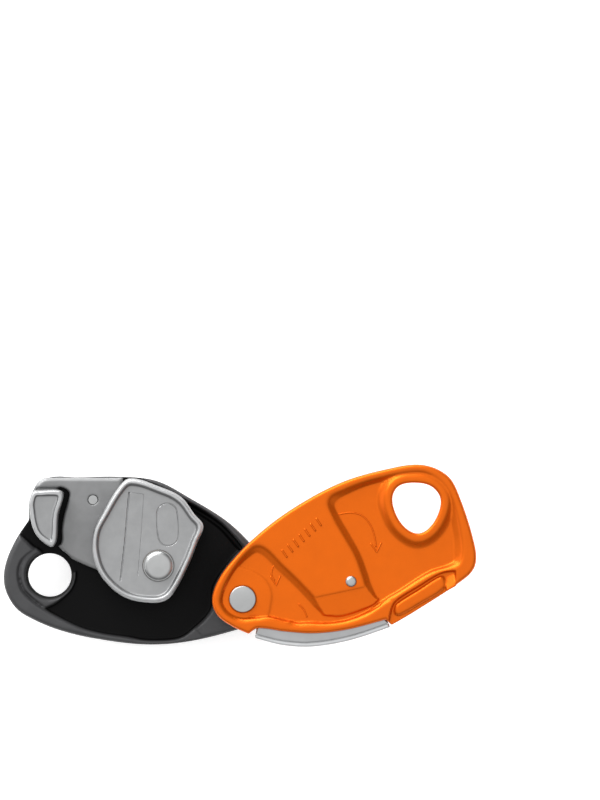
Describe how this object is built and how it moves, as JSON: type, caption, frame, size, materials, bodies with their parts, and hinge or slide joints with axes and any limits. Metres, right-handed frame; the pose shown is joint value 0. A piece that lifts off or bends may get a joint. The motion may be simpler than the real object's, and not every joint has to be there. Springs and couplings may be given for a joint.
{
  "type": "belay device",
  "caption": "Assisted-braking climbing belay device: two side plates that swing open round a rope channel, a sprung cam, a brake block and a release handle on the back.",
  "frame": {"origin": "centre of the fixed side plate's attachment hole, at that plate's back face", "axes": "+Z through the side plates, away from the handle; +X from the attachment hole towards the side plate pivot"},
  "size_m": [0.1576, 0.0609, 0.0302],
  "materials": {
    "dark_plate": "black anodised, satin",
    "orange_plate": "orange anodised, satin",
    "cast_steel": "investment cast, bead blasted",
    "dark_steel": "blackened",
    "stainless": "satin stainless",
    "rivet_steel": "satin",
    "spring_steel": "oiled",
    "bronze": "sintered",
    "black_nylon": "moulded, fine grain",
    "grey_nylon": "moulded, fine grain",
    "white_nylon": "plain"
  },
  "bodies": {
    "frame": {"fixed_side_plate": "dark_plate", "rope_guide": "cast_steel", "guide_post": "cast_steel", "guide_rivets": "rivet_steel", "brake_block": "dark_steel", "cam_axle": "rivet_steel", "cam_washer": "rivet_steel", "cam_spring": "spring_steel", "stop_pin": "spring_steel", "pivot_rivet": "rivet_steel", "pivot_bush": "bronze", "pivot_washer": "white_nylon", "handle_spring": "spring_steel", "axle_retainer": "rivet_steel", "back_cover": "black_nylon", "cover_screws": "rivet_steel", "detent_ball": "spring_steel", "detent_spring": "spring_steel"},
    "cam_unit": {"cam": "cast_steel", "cam_bush": "bronze"},
    "side_plate": {"swinging_side_plate": "orange_plate", "friction_plate": "stainless", "friction_rivet": "stainless"},
    "handle": {"handle_lever": "black_nylon", "handle_core": "dark_steel", "handle_rivets": "rivet_steel", "drive_pin": "spring_steel"},
    "knob": {"mode_knob": "grey_nylon"}
  },
  "joints": [
    {"name": "side_plate_swing", "type": "hinge", "parent": "frame", "child": "side_plate", "pos_m": [0.0644, -0.0079, 0.0172], "axis": [0, 0, 1], "range_deg": [0, 145.4]},
    {"name": "cam_pivot", "type": "hinge", "parent": "frame", "child": "cam_unit", "pos_m": [0.0363, 0.0032, 0.0099], "axis": [0, 0, 1], "range_deg": [-36, 0], "stiffness_Nm_per_rad": 0.08, "springref_deg": 28.65},
    {"name": "handle_swing", "type": "hinge", "parent": "frame", "child": "handle", "pos_m": [0.0363, 0.0032, -0.0045], "axis": [0, 0, 1], "range_deg": [0, 80], "stiffness_Nm_per_rad": 0.05, "springref_deg": -28.65},
    {"name": "mode_knob_turn", "type": "hinge", "parent": "frame", "child": "knob", "pos_m": [0.0528, -0.0131, -0.0075], "axis": [0, 0, -1], "range_deg": [0, 90]}
  ]
}
